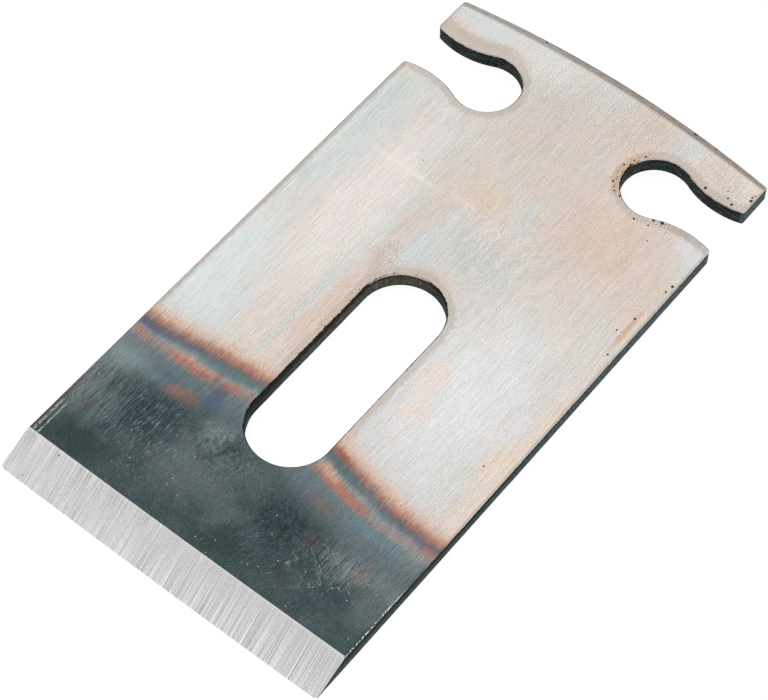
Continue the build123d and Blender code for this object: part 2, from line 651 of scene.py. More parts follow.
class Finish(Nodes):
    """A material being made. Its places are in millimetres: X from the middle, Y from the cutting edge."""

    def __init__(self, name):
        self.material = bpy.data.materials.new(name)
        self.material.use_nodes = True
        super().__init__(self.material.node_tree)
        self.shader = self.tree.nodes["Principled BSDF"]
        coordinates = self.add("ShaderNodeTexCoord", {}, "Object")
        self.direction = self.add("ShaderNodeTexCoord", {}, "Normal")
        self.place = self.add(
            "ShaderNodeMapping",
            {"Vector": coordinates, "Location": (0, -EDGE_Y / MM, 0), "Scale": (1 / MM, 1 / MM, 1 / MM)},
        )
        self.drifted = self.wander(0.2, (6, 8, 0))
        self.ruffled = self.wander(1.3, (0.9, 1.3, 0))
        axes = self.tree.nodes.new("ShaderNodeSeparateXYZ")
        self.tree.links.new(self.place, axes.inputs[0])
        self.across, self.along, self.height = axes.outputs

    def wander(self, scale, amount):
        """The place moved about by a cloudy noise, so that what is put there gets an uneven border."""
        cloud = self.add("ShaderNodeTexNoise", {"Vector": self.place, "Scale": scale, "Detail": 3.0}, "Color")
        cloud = self.add("ShaderNodeVectorMath", {0: cloud, 1: (0.5, 0.5, 0.5)}, operation="SUBTRACT")
        cloud = self.add("ShaderNodeVectorMath", {0: cloud, 1: amount}, operation="MULTIPLY")
        return self.add("ShaderNodeVectorMath", {0: self.place, 1: cloud}, operation="ADD")

    def mix(self, share, below, above, blend="MIX"):
        """One colour over another, by a share from 0 to 1."""
        return self.add(
            "ShaderNodeMix",
            {"Factor": share, MIX_BELOW: below, MIX_ABOVE: above},
            MIX_RESULT,
            data_type="RGBA",
            blend_type=blend,
        )

    def over(self, colour, seen, *shares):
        """A tone, red, green and blue as seen, over a colour, by its shares multiplied."""
        return self.mix(self.times(*shares), colour, tone(*seen))

    def framed(self, centre, reach, turn=0.0, source=None):
        """Coordinates that are 0 at a centre and 1 a reach away, turned about Z."""
        return self.add(
            "ShaderNodeMapping",
            {"Vector": source or self.place, "Location": centre, "Rotation": (0, 0, turn), "Scale": reach},
            vector_type="TEXTURE",
        )

    def noise(self, grain, detail=2.0, roughness=0.5, turn=0.0, shift=0.0, source=None):
        """Cloudy noise around 0.5, with grains of this size in millimetres along each axis."""
        source = self.framed((shift, 2 * shift, 3 * shift), grain, turn, source)
        return self.add(
            "ShaderNodeTexNoise", {"Vector": source, "Scale": 1.0, "Detail": detail, "Roughness": roughness}
        )

    def patch(self, x, y, reach_x, reach_y, turn=0.0, source=None):
        """A soft round patch: 1 at its centre, 0 from its reach on."""
        if source is None:
            source = self.ruffled if min(reach_x, reach_y) < SMALL_STAIN else self.drifted
        source = self.framed((x, y, 0), (reach_x, reach_y, FAR), radians(turn), source)
        cone = self.add("ShaderNodeTexGradient", {"Vector": source}, "Fac", gradient_type="SPHERICAL")
        return self.fade(cone, 0.0, 0.8)

    def stained(self, colour, stains, source=None):
        """Soft stains over a colour, one after the other."""
        for red, green, blue, x, y, reach_x, reach_y, share, turn in stains:
            patch = self.patch(x, y, reach_x, reach_y, turn, source)
            colour = self.over(colour, (red, green, blue), patch, share)
        return colour

    def spots(self, cell, radius, kept, shift=0.0):
        """Scattered small spots, one in some of the cells, with radius as a share of a cell."""
        source = self.framed((shift, shift, shift), (cell, cell, cell))
        node = self.tree.nodes.new("ShaderNodeTexVoronoi")
        self.fill(node, {"Vector": source, "Scale": 1.0})
        chance = self.add("ShaderNodeSeparateColor", {0: node.outputs["Color"]})
        chosen = self.math("LESS_THAN", chance, kept)
        return self.times(chosen, self.fade(node.outputs["Distance"], radius, radius * 0.5))

    def ramp(self, value, start, end, stops):
        """Colours along a value: stops are (place, colour), with places between start and end."""
        share = self.add("ShaderNodeMapRange", {"Value": value, "From Min": start, "From Max": end})
        node = self.tree.nodes.new("ShaderNodeValToRGB")
        self.tree.links.new(share, node.inputs[0])
        elements = node.color_ramp.elements
        while len(elements) > 1:
            elements.remove(elements[-1])
        for index, (place, colour) in enumerate(stops):
            position = (place - start) / (end - start)
            element = elements[0] if index == 0 else elements.new(position)
            element.position = position
            element.color = colour
        return node.outputs["Color"]

    def curve(self, value, start, end, low, high, points):
        """A smooth curve through points of (value, result), with results between low and high."""
        share = self.add("ShaderNodeMapRange", {"Value": value, "From Min": start, "From Max": end})
        node = self.tree.nodes.new("ShaderNodeFloatCurve")
        self.tree.links.new(share, node.inputs["Value"])
        line = node.mapping.curves[0]
        places = [((x - start) / (end - start), (y - low) / (high - low)) for x, y in points]
        line.points[0].location = places[0]
        line.points[1].location = places[-1]
        for place in places[1:-1]:
            line.points.new(*place)
        node.mapping.update()
        return self.add("ShaderNodeMapRange", {"Value": node.outputs[0], "To Min": low, "To Max": high})

    def varied(self, colour, pattern, amounts):
        """A colour whose red, green and blue follow a pattern around 0.5, each by its own amount."""
        level = self.minus(pattern, 0.5)
        parts = [self.math("MULTIPLY_ADD", level, amount, 1.0) for amount in amounts]
        return self.mix(1.0, colour, self.add("ShaderNodeCombineColor", dict(enumerate(parts))), "MULTIPLY")

    def shaded(self, colour, pattern, amount):
        """A colour made lighter and darker by a pattern around 0.5."""
        part = self.math("MULTIPLY_ADD", self.minus(pattern, 0.5), amount, 1.0)
        factor = self.add("ShaderNodeCombineColor", {0: part, 1: part, 2: part})
        return self.mix(1.0, colour, factor, "MULTIPLY")

    def tinged(self, colour, pattern, amount):
        """A colour made warmer and cooler by a pattern around 0.5."""
        return self.varied(colour, pattern, (amount, 0, -amount))

    def brush(self, shift=0.0):
        """The grinding belt's marks along the blade, each around 0.5: short lines, long lines and grain."""
        self.short = self.noise((0.1, 0.9, 1), roughness=0.6, shift=shift)
        self.long = self.noise((0.1, 5, 1), roughness=0.6, shift=shift + 7)
        self.grain = self.noise((0.1, 0.12, 0.2), detail=1.0, shift=shift + 3)

    def finish(self, colour, roughness, relief, relief_depth, metallic=1.0):
        """Link the results to the shader. The relief's depth is in millimetres."""
        bump = self.add("ShaderNodeBump", {"Height": relief, "Distance": relief_depth * MM})
        inputs = {"Base Color": colour, "Roughness": roughness, "Metallic": metallic, "Normal": bump}
        self.fill(self.shader, inputs)
        return self.material


# Stains: red, green, blue as seen, X, Y from the cutting edge, reach in X and Y, share, turn in degrees
STEEL_STAINS = (
    # Warm bloom over the middle and the right of the far half
    (215, 204, 195, -2, 88, 15, 18, 0.95, 0),
    (221, 201, 188, 14, 78, 17, 17, 0.95, 0),
    (221, 203, 188, -6, 73, 8, 7, 0.6, -20),
    (224, 204, 187, -2, 73, 6, 4.5, 0.6, -30),
    (220, 203, 192, -7, 65, 3.4, 9, 0.7, -8),
    (207, 208, 205, 2, 64, 8, 7, 0.9, 0),
    (208, 209, 208, 4, 74, 4, 5, 0.6, 35),
    (216, 208, 202, 12, 69, 6, 5, 0.6, 0),
    (205, 203, 196, -5, 93, 5, 7, 0.5, 20),
    (222, 221, 217, -11, 98, 9, 6, 0.9, 0),
    (213, 198, 186, 8, 97, 8, 8, 0.8, 0),
    (221, 206, 193, 21, 96, 8, 6, 0.8, 0),
    (234, 224, 214, 25.5, 100, 3, 3, 0.7, 0),
    (222, 203, 188, 25, 74, 4, 12, 0.6, 0),
    # Cool sheen down the left side, pale in its middle, and right of the slot
    (216, 219, 217, -25, 70, 8, 28, 0.95, 0),
    (204, 211, 210, -24, 79, 3.4, 7, 0.6, 0),
    (234, 226, 222, -16, 62, 7, 28, 0.95, 0),
    (221, 229, 229, -24, 42, 8, 17, 0.85, 0),
    (226, 218, 214, -22, 58, 3, 6, 0.5, 0),
    (229, 230, 231, 15, 46, 12, 20, 0.95, 0),
    (219, 222, 222, 25.5, 84, 4, 4, 0.9, 0),
    (218, 222, 221, -22, 99, 9, 3.5, 0.95, 0),
    # Tan left of the slot and along the right edge
    (220, 201, 190, -8, 45, 3.6, 21, 0.95, 0),
    (206, 191, 180, -7.8, 56, 3.2, 4, 0.8, 0),
    (231, 214, 200, 26, 42, 3.6, 24, 0.9, 0),
    (238, 218, 210, 10, 45, 3, 5, 0.7, 0),
    (238, 218, 209, 11, 39, 3.4, 4, 0.7, 0),
    (208, 212, 209, -11.3, 42, 1.0, 16, 0.85, 1),
    # Orange rust halo at the right notch, rust streak at the right edge, a rubbed line on the left
    (226, 200, 174, 9.6, 90.5, 1.9, 4.5, 0.7, 0),
    (218, 205, 193, 17, 84, 6, 2, 0.8, 0),
    (206, 170, 144, 25.7, 68, 0.6, 6, 0.8, 0),
    (240, 232, 224, -15, 70.6, 9, 0.8, 0.8, -2),
    (238, 224, 208, -5, 71.0, 3.5, 0.9, 0.5, 0),
)
# The heat tint's own stains, which the belt's lines comb
TINT_STAINS = (
    (94, 120, 118, -11.5, 29.0, 7, 1.1, 0.7, 5),
    (98, 97, 122, -24.5, 28.1, 5, 0.9, 0.6, 2),
    (88, 112, 112, 10.5, 26.6, 5, 1.1, 0.7, -14),
    (180, 116, 98, -12.5, 31.0, 7, 1.0, 0.4, 5),
    (140, 84, 68, 8.4, 28.5, 3, 0.8, 0.6, -14),
    (168, 106, 100, 23, 25.8, 5, 0.7, 0.4, 0),
    (200, 158, 140, -15.5, 27.4, 7, 0.7, 0.6, 2),
    (206, 170, 150, 8.4, 25.6, 3, 1.1, 0.85, -14),
    (132, 148, 148, -25, 22.0, 6, 4, 0.9, 0),
    (84, 110, 126, -17.8, 23.2, 3.4, 1.6, 0.7, 4),
    (118, 138, 138, -20, 22.3, 4, 1.6, 0.6, 0),
    (70, 102, 132, -10.3, 23.7, 2.4, 1.8, 0.6, 0),
    (82, 84, 112, -10.6, 25.6, 1.4, 2.4, 0.5, 0),
    (136, 98, 106, -12.4, 27.6, 0.8, 2.6, 0.5, 0),
    (150, 116, 98, -14.2, 22.2, 4.2, 2.0, 0.8, 0),
    (172, 122, 102, -15, 22.3, 2.8, 1.0, 0.35, 0),
    (112, 136, 146, 19, 21.8, 8, 1.2, 0.7, 0),
    (134, 106, 92, 10.5, 21.2, 3.8, 1.3, 0.5, -10),
)
# Lighter and darker places of the oxide
OXIDE_STAINS = (
    (110, 121, 122, -25.5, 18, 5, 9, 0.95, 0),
    (57, 71, 75, -12, 15.5, 4, 4, 0.6, 0),
    (92, 104, 105, 1, 13, 5, 3.4, 0.7, 0),
    (88, 103, 104, -21.5, 15, 4, 7, 0.8, 0),
    (98, 109, 109, -6, 14.5, 9, 6, 0.95, 12),
    (118, 130, 131, -7, 21.5, 3, 4, 0.9, 0),
    (90, 104, 104, 0, 18.5, 7, 4, 0.8, 0),
    (57, 71, 75, 9, 15.5, 6, 7, 0.95, 0),
    (58, 73, 80, -16, 17.5, 5, 5, 0.95, 0),
    (119, 127, 127, 21, 18, 7, 6, 0.95, 0),
    (124, 132, 132, 25.5, 18, 5, 7, 0.95, 0),
    (98, 109, 108, 25, 12.5, 4, 4, 0.8, 0),
    (114, 128, 131, 18, 20, 4, 4, 0.9, 0),
    (136, 120, 114, 21.5, 17.5, 1.8, 3.4, 0.6, 0),
    (128, 114, 110, 16.8, 20, 1.6, 1.6, 0.5, 0),
    (82, 70, 70, 12.9, 16, 1.6, 2.8, 0.5, 0),
    (98, 90, 94, -23.6, 14, 1.6, 2.6, 0.4, 0),
    (56, 70, 71, -21, 8, 8, 3.6, 0.85, 0),
    (57, 72, 73, 4.5, 8.5, 7, 3.6, 0.85, 0),
    (68, 76, 78, 12, 9, 4, 3, 0.6, 0),
)


# Duller steel beside the rims
DULL_STEEL = tone(190, 176, 162)


def steel_colour(fin, colours):
    """Bare steel of the upper face with its sheens, stains, brushing and handling marks."""
    mottle = fin.fade(fin.noise((7, 18, 9), detail=3.0, shift=11), 0.3, 0.7)
    colour = fin.mix(mottle, tone(214, 216, 215), colours.steel)
    colour = fin.stained(colour, STEEL_STAINS)
    colour = fin.shaded(colour, fin.short, 0.45)
    colour = fin.shaded(colour, fin.long, 0.62)
    colour = fin.shaded(colour, fin.grain, 1.6)
    # A rougher skin beyond the notches
    skin = fin.noise((0.17, 0.2, 0.2), roughness=0.6, shift=18)
    skin = fin.weighed(skin, fin.fade(fin.along, 86, 94))
    colour = fin.shaded(colour, skin, 1.3)
    colour = fin.tinged(colour, fin.noise((1.6, 4, 1), detail=3.0, roughness=0.6, shift=15), 0.13)
    colour = fin.varied(colour, fin.noise((3, 8, 1), detail=3.0, shift=16), (0.08, -0.07, 0.04))
    colour = fin.varied(colour, fin.noise((0.3, 0.8, 1), detail=3.0, shift=17), (0.07, -0.05, 0.02))
    # Slanting smudges of handling over the middle
    middle = fin.patch(4, 68, 13, 13)
    for grain, turn, shift, amount in (((0.5, 3.5, 1), -40, 19, 0.35), ((0.16, 2.2, 1), 35, 20, 0.3)):
        smudge = fin.noise(grain, roughness=0.6, turn=radians(turn), shift=shift)
        colour = fin.shaded(colour, fin.weighed(smudge, middle), amount)
    return colour


# Where the dark line of the heat tint runs, and the redder stripe below it: X and Y in millimetres, and
# between which X and which Y both lie
DARK_LINE = ((-27, 28.4), (-19, 29), (-11, 30), (-4, 30), (8, 27.6), (13.5, 26.4), (20, 25.3), (27, 24.9))
RED_STRIPE = (
    (-27, 26.8), (-19, 26.6), (-12, 27.0), (-7, 27.7), (7, 25.2), (11, 24.4), (14, 23.7), (27, 24.1)
)
LINE_SPAN = (-27, 27, 20, 32)
# Where that stripe is strong: X, reach and share
STRIPE_LENGTHS = (
    (-25.5, 4, 0.6), (-16.7, 6.5, 0.85), (-9.5, 3.4, 0.75), (9.5, 6, 0.9), (13.5, 4.5, 0.9), (26.5, 4, 0.6)
)
# Colours of the heat tint by the distance beyond its dark line, in millimetres
HEAT_HUES = (
    (-9.0, tone(92, 104, 107)), (-6.0, tone(102, 115, 119)), (-4.2, tone(110, 122, 126)),
    (-3.0, tone(122, 128, 130)), (-2.0, tone(146, 148, 145)), (-1.2, tone(139, 149, 149)),
    (-0.5, tone(108, 121, 128)), (0.1, tone(110, 106, 111)), (0.5, tone(136, 113, 109)),
    (1.0, tone(167, 130, 118)), (1.5, tone(191, 151, 133)), (2.0, tone(208, 173, 153)),
    (2.6, tone(215, 187, 171)), (3.4, tone(221, 200, 188)), (4.6, tone(224, 209, 200)),
    (6.5, tone(224, 214, 208)),
)


def tinted(fin, steel, oxide):
    """The colours that the heat left between bare steel and oxide, combed along the blade."""
    sway = 0.0
    for pattern, amount in ((fin.short, 0.5), (fin.long, 0.6), (fin.noise((1.2, 9, 1), shift=9), 1.3)):
        sway = fin.math("MULTIPLY_ADD", fin.minus(pattern, 0.5), amount, sway)
    combed = fin.add("ShaderNodeCombineXYZ", {1: sway})
    combed = fin.add("ShaderNodeVectorMath", {0: fin.place, 1: combed}, operation="ADD")
    along = fin.math("ADD", fin.along, sway)
    height = fin.minus(along, fin.curve(fin.across, *LINE_SPAN, DARK_LINE))
    colour = fin.ramp(height, -10, 7, HEAT_HUES)
    # The redder stripe is broken: strong beside the slot, faint towards the sides
    stripe = fin.minus(along, fin.curve(fin.across, *LINE_SPAN, RED_STRIPE))
    stripe = fin.fade(fin.math("ABSOLUTE", stripe), 1.25, 0.2)
    broken = 0.2
    for x, reach, share in STRIPE_LENGTHS:
        here = fin.times(fin.patch(x, 25.5, reach, 9), share)
        broken = fin.most(broken, here)
    colour = fin.over(colour, (176, 122, 106), stripe, broken)
    colour = fin.stained(colour, TINT_STAINS, combed)
    colour = fin.tinged(colour, fin.noise((1.4, 2.4, 1), detail=3.0, roughness=0.6, shift=27), 0.36)
    colour = fin.shaded(colour, fin.short, 1.0)
    colour = fin.shaded(colour, fin.grain, 1.6)
    # Fine lines that the belt drew through the tint, brown above it and pale in it
    combing = fin.noise((0.075, 4, 1), roughness=0.6, shift=28)
    colour = fin.shaded(colour, combing, 1.3)
    pale = fin.times(fin.fade(combing, 0.42, 0.3, 0, 0.4), fin.fade(height, -1.5, 0.5))
    colour = fin.over(colour, (226, 212, 204), pale)
    brown = fin.times(fin.fade(combing, 0.52, 0.66, 0, 0.5), fin.fade(height, 5.0, 1.0))
    steel = fin.over(steel, (178, 138, 120), brown)
    colour = fin.mix(fin.fade(height, 1.0, 5.5), colour, steel)
    return fin.mix(fin.fade(height, -5.5, -10.0), colour, oxide)


def scratches(fin, grain, turn, shift, start=0.62, source=None):
    """Thin bright scratches: 1 in them, else 0."""
    pattern = fin.noise(grain, detail=1.0, turn=radians(turn), shift=shift, source=source)
    return fin.fade(pattern, start, start + 0.16)


def oxide_colour(fin, colours):
    """Dark oxide of the hardened end: worn lighter in places, scratched and specked."""
    mottle = fin.fade(fin.noise((4, 4, 4), detail=3.0, shift=21), 0.3, 0.7)
    colour = fin.over(colours.oxide, (76, 90, 91), mottle)
    colour = fin.stained(colour, OXIDE_STAINS)
    colour = fin.shaded(colour, fin.short, 1.3)
    colour = fin.shaded(colour, fin.grain, 3.2)
    # Uneven streaks at the sides, rougher skin about the slot's near end
    streaks = fin.noise((0.22, 3.0, 1), detail=3.0, roughness=0.65, shift=31)
    sides = fin.most(fin.patch(-19, 17, 12, 10), fin.patch(18, 18, 9, 8))
    streaks = fin.weighed(streaks, sides)
    colour = fin.shaded(colour, streaks, 3.4)
    rough = fin.noise((0.4, 0.5, 0.4), detail=3.0, roughness=0.65, shift=33)
    skin = fin.most(fin.patch(-4, 20, 8, 6), fin.patch(9, 17, 8, 8))
    rough = fin.weighed(rough, skin)
    colour = fin.shaded(colour, rough, 2.6)
    colour = fin.tinged(colour, fin.noise((1.2, 2.4, 1), detail=4.0, roughness=0.6, shift=35), 0.42)
    # Light scratches in loose groups: upright on the left, slanting in the middle, swirling on the right
    groups = fin.fade(fin.noise((1.5, 1.8, 1), shift=36), 0.42, 0.58, 0.15, 1.0)
    marks = (
        (scratches(fin, (0.07, 2.0, 1), 2, 37, 0.6), (-15, 17.5, 7, 7), 0.8),
        (scratches(fin, (0.07, 1.1, 1), -12, 39, 0.62), (-14, 16, 14, 9), 0.9),
        (scratches(fin, (0.1, 2.2, 1), 62, 43, 0.6, fin.ruffled), (17, 13, 8, 6), 0.7),
        (scratches(fin, (0.1, 2.4, 1), -35, 45, 0.62, fin.ruffled), (12, 11, 15, 7), 0.7),
        (scratches(fin, (0.07, 1.0, 1), 55, 47, 0.66), (-5, 9, 24, 5), 0.9),
    )
    for mark, place, share in marks:
        strength = fin.times(mark, fin.patch(*place), share, groups)
        colour = fin.over(colour, (196, 206, 206), strength)
    colour = fin.over(colour, (206, 212, 212), fin.spots(1.3, 0.08, 0.5, 2))
    colour = fin.over(colour, (150, 162, 163), fin.spots(0.7, 0.1, 0.4, 6), groups)
    return left_side_wear(fin, colour)


def left_side_wear(fin, colour):
    """Tan wear of the oxide at the blade's left side, with two light lines."""
    side = fin.times(fin.fade(fin.across, -26.0, -26.5), fin.fade(fin.along, 20, 14))
    colour = fin.over(colour, (94, 87, 81), side, 0.8)
    line = fin.times(fin.fade(fin.across, -26.0, -26.2), fin.fade(fin.across, -26.5, -26.3))
    inland = fin.times(fin.fade(fin.across, -25.3, -25.4), fin.fade(fin.across, -25.65, -25.55))
    dashes = fin.fade(fin.noise((0.15, 0.4, 1), shift=49), 0.4, 0.6)
    line = fin.times(fin.most(line, inland), fin.fade(fin.along, 13, 11), dashes)
    return fin.over(colour, (226, 226, 222), line, 0.6)


def distance_over(fin, across, along):
    """Length of the straight way over this much across and along."""
    square = fin.math("MULTIPLY_ADD", across, across, fin.times(along, along))
    return fin.math("SQRT", square)


def hole_distance(fin, sizes):
    """Distance on the upper face from the slot's rim or from a notch's, in millimetres."""
    radius = sizes.slot_width / 2 / MM
    near_y = sizes.slot_from_edge / MM + radius
    far_y = near_y + (sizes.slot_length - sizes.slot_width) / MM
    middle = fin.most(fin.math("MINIMUM", fin.along, far_y), near_y)
    slot = fin.minus(distance_over(fin, fin.across, fin.minus(fin.along, middle)), radius)
    seat, (lip, _) = notch_circles(sizes)
    aside = fin.math("ABSOLUTE", fin.across)
    rise = fin.math("ABSOLUTE", fin.minus(fin.along, (seat.centre.y - EDGE_Y) / MM))
    bore = fin.minus(distance_over(fin, fin.minus(aside, seat.centre.x / MM), rise), seat.radius / MM)
    # A lip is round about a point in the steel, so its rim lies where the way from there is longest
    lip_rise = (seat.centre.y - lip.centre.y) / MM
    bulge = distance_over(fin, fin.minus(aside, lip.centre.x / MM), fin.minus(rise, lip_rise))
    bulge = fin.minus(lip.radius / MM, bulge)
    beyond = fin.math("GREATER_THAN", rise, lip_rise)
    inland = fin.math("LESS_THAN", aside, lip.point(lip.end).x / MM)
    bulge = fin.math("MULTIPLY_ADD", fin.most(beyond, inland), FAR, bulge)
    return fin.math("MINIMUM", fin.math("MINIMUM", slot, bore), bulge)


def slope_distance(fin, sizes):
    """Distance beyond the inner border of the sloping band, in millimetres."""
    centre_y = (CROWN_Y - sizes.slope_width - sizes.slope_radius - EDGE_Y) / MM
    reach = distance_over(fin, fin.minus(fin.across, sizes.crown_offset / MM), fin.minus(fin.along, centre_y))
    return fin.minus(reach, sizes.slope_radius / MM)


def rim_bands(fin, steel, distance, uneven, speckle):
    """Duller bands along the rims of the holes and the left side, with a light groove beside it."""
    band = fin.times(fin.fade(distance, 1.5, 0.9, 0, 0.55), fin.fade(speckle, 0.2, 0.5, 0.5, 1.0))
    steel = fin.mix(band, steel, DULL_STEEL)
    tab_band = fin.times(fin.fade(distance, 0.7, 1.3), fin.fade(distance, 3.0, 1.8))
    tab_band = fin.times(tab_band, fin.patch(-20, 95.5, 12, 5), fin.fade(speckle, 0.25, 0.6, 0.45, 1.0))
    steel = fin.over(steel, (200, 185, 166), tab_band)
    beyond_slot = fin.times(fin.fade(distance, 3.0, 0.5), fin.patch(-1, 60, 9, 6), 0.6)
    steel = fin.over(steel, (200, 180, 166), beyond_slot)
    side = fin.math("MULTIPLY_ADD", uneven, 0.8, fin.across)
    side = fin.times(fin.fade(side, -26.0, -26.5), fin.fade(fin.along, 84, 92, 0.75, 0.3))
    steel = fin.over(steel, (180, 168, 162), side)
    groove = fin.fade(fin.math("ABSOLUTE", fin.math("ADD", fin.across, 25.5)), 0.16, 0.06, 0, 0.6)
    broken = fin.fade(fin.noise((0.6, 5, 1), shift=24), 0.42, 0.55)
    steel = fin.over(steel, (242, 240, 236), groove, broken, fin.fade(fin.along, 84, 78))
    # Grey, speckled band along the near lip of the right notch
    lip_band = fin.times(fin.fade(distance, 1.7, 1.0, 0, 0.75), fin.patch(23, 84.5, 7, 3.5))
    return fin.over(steel, (162, 153, 148), lip_band, fin.fade(speckle, 0.35, 0.6, 0.15, 1.0))


def flaked(fin, steel):
    """Brown and pale flakes beyond the slot's far end, round the right notch and at the slot's left side."""
    flakes = fin.noise((0.22, 0.26, 0.3), shift=25)
    places = ((-6.5, 57, 3.6, 3.6), (9.4, 89, 2.4, 5.5), (18, 84.6, 8, 1.8), (-11.3, 39, 1.3, 12))
    flaky = fin.most(*[fin.patch(*place) for place in places])
    steel = fin.over(steel, (146, 126, 112), fin.fade(flakes, 0.58, 0.7, 0, 0.6), flaky)
    steel = fin.over(steel, (238, 232, 224), fin.fade(flakes, 0.42, 0.32), flaky)
    return fin.over(steel, (120, 112, 106), fin.spots(2.3, 0.06, 0.2, 7))


def rusted(fin, steel, distance, speckle):
    """Rust close round the right notch, and specks of it along its rim and the slot's left side."""
    seat = fin.patch(9.6, 89, 4, 6)
    rusty = fin.times(seat, fin.fade(distance, 1.9, 0.7), fin.fade(speckle, 0.35, 0.6, 0.1, 0.75))
    steel = fin.over(steel, (206, 166, 122), rusty)
    near = fin.most(seat, fin.patch(-6.6, 46, 2, 15), fin.patch(21, 85, 8, 2.5))
    near = fin.times(near, fin.fade(distance, 1.6, 0.5))
    specks = fin.times(fin.spots(0.45, 0.34, 0.4, 9), near, 0.85)
    return fin.over(steel, (84, 64, 52), specks)


def marked_steel(fin, sizes, steel):
    """Steel of the upper face with the bands, flakes and rust along its rims, and a darker border by the
    sloping band.
    """
    uneven = fin.minus(fin.noise((0.7, 0.9, 1), detail=3.0, roughness=0.6, shift=23), 0.5)
    distance = fin.math("MULTIPLY_ADD", uneven, 1.6, hole_distance(fin, sizes))
    speckle = fin.noise((0.2, 0.2, 0.2), roughness=0.6, shift=29)
    steel = rim_bands(fin, steel, distance, uneven, speckle)
    steel = flaked(fin, steel)
    steel = rusted(fin, steel, distance, speckle)
    # Darker border on the face along the inner edge of the sloping band
    inner = fin.math("MULTIPLY_ADD", fin.minus(speckle, 0.5), 0.7, slope_distance(fin, sizes))
    return fin.over(steel, (164, 153, 144), fin.fade(inner, -0.45, 0.0, 0, 0.8))


def tempered_face(sizes, colours):
    """Upper face of the blade: steel, heat tint and oxide."""
    fin = Finish("tempered_face")
    fin.brush()
    steel = steel_colour(fin, colours)
    steel = marked_steel(fin, sizes, steel)
    oxide = oxide_colour(fin, colours)
    colour = tinted(fin, steel, oxide)
    pits = [(62, 46, 38, x, y, radius * 1.3, radius * 1.5, 0.9, 0) for x, y, radius in PITS]
    colour = fin.stained(colour, pits, fin.place)
    roughness = fin.fade(fin.noise((0.4, 9, 1), shift=41), 0.3, 0.7, 0.30, 0.42)
    return fin.finish(colour, roughness, fin.short, 0.006)


def rim_colour(fin, colours):
    """The face's colours on its rounded rims, without its finer marks."""
    fin.brush()
    steel = fin.shaded(fin.stained(colours.steel, STEEL_STAINS), fin.long, 0.8)
    steel = fin.mix(0.45, steel, DULL_STEEL)
    oxide = fin.stained(colours.oxide, OXIDE_STAINS)
    # Painted glints: white dots along the right side's rounded rim, which faces the camera
    glint_dots = fin.fade(fin.noise((0.15, 0.22, 1), detail=1.0, shift=50), 0.44, 0.54)
    right = fin.times(fin.fade(fin.across, 26.82, 26.86), fin.fade(fin.across, 26.98, 26.94))
    oxide = fin.over(oxide, (240, 242, 240), right, glint_dots)
    return tinted(fin, steel, oxide)


# Level direction from the blade towards the camera: rims that face it get painted highlights
CAMERA_WAY = (0.6, -0.8, 0)


def wall_scale(fin, colours, aside, in_slot, blotches, patches):
    """Scale and rust on the punched walls, each place in its own hue, with painted light and painted glints.
    """
    rust = fin.noise((1.6, 1.6, 0.8), detail=4.0, roughness=0.65, shift=57)
    scale = fin.over(colours.scale, (66, 82, 80), fin.fade(patches, 0.42, 0.6))
    # Rust, less of it in the slot
    rust = fin.times(fin.fade(rust, 0.5, 0.62), fin.fade(in_slot, 0, 1, 0.65, 0.2))
    scale = fin.over(scale, (92, 74, 58), rust)
    # The blade's sides are scaled grey and the slot's far part brownish, both darker at the hardened end.
    # Both are also painted lighter than the other walls, painted light for walls that face across the blade;
    # in the slot most of all on its left wall, which faces +X.
    outer = fin.times(fin.fade(aside, 26.3, 26.7), fin.fade(fin.along, 15, 80, 0.5, 1.0))
    grey = fin.mix(fin.fade(blotches, 0.35, 0.65), tone(66, 86, 87), tone(116, 132, 130))
    scale = fin.mix(outer, scale, grey)
    inner = fin.times(in_slot, fin.fade(fin.along, 28, 38), fin.fade(fin.across, 2.5, -3.0, 0.1, 1.0))
    sand = fin.mix(fin.fade(blotches, 0.35, 0.65), tone(74, 69, 62), tone(124, 116, 105))
    scale = fin.mix(inner, scale, sand)
    scale = fin.shaded(scale, blotches, 1.6)
    # Painted glints: small pale spots scattered over the walls
    return fin.over(scale, (196, 202, 200), fin.spots(0.5, 0.2, 0.35, 4))


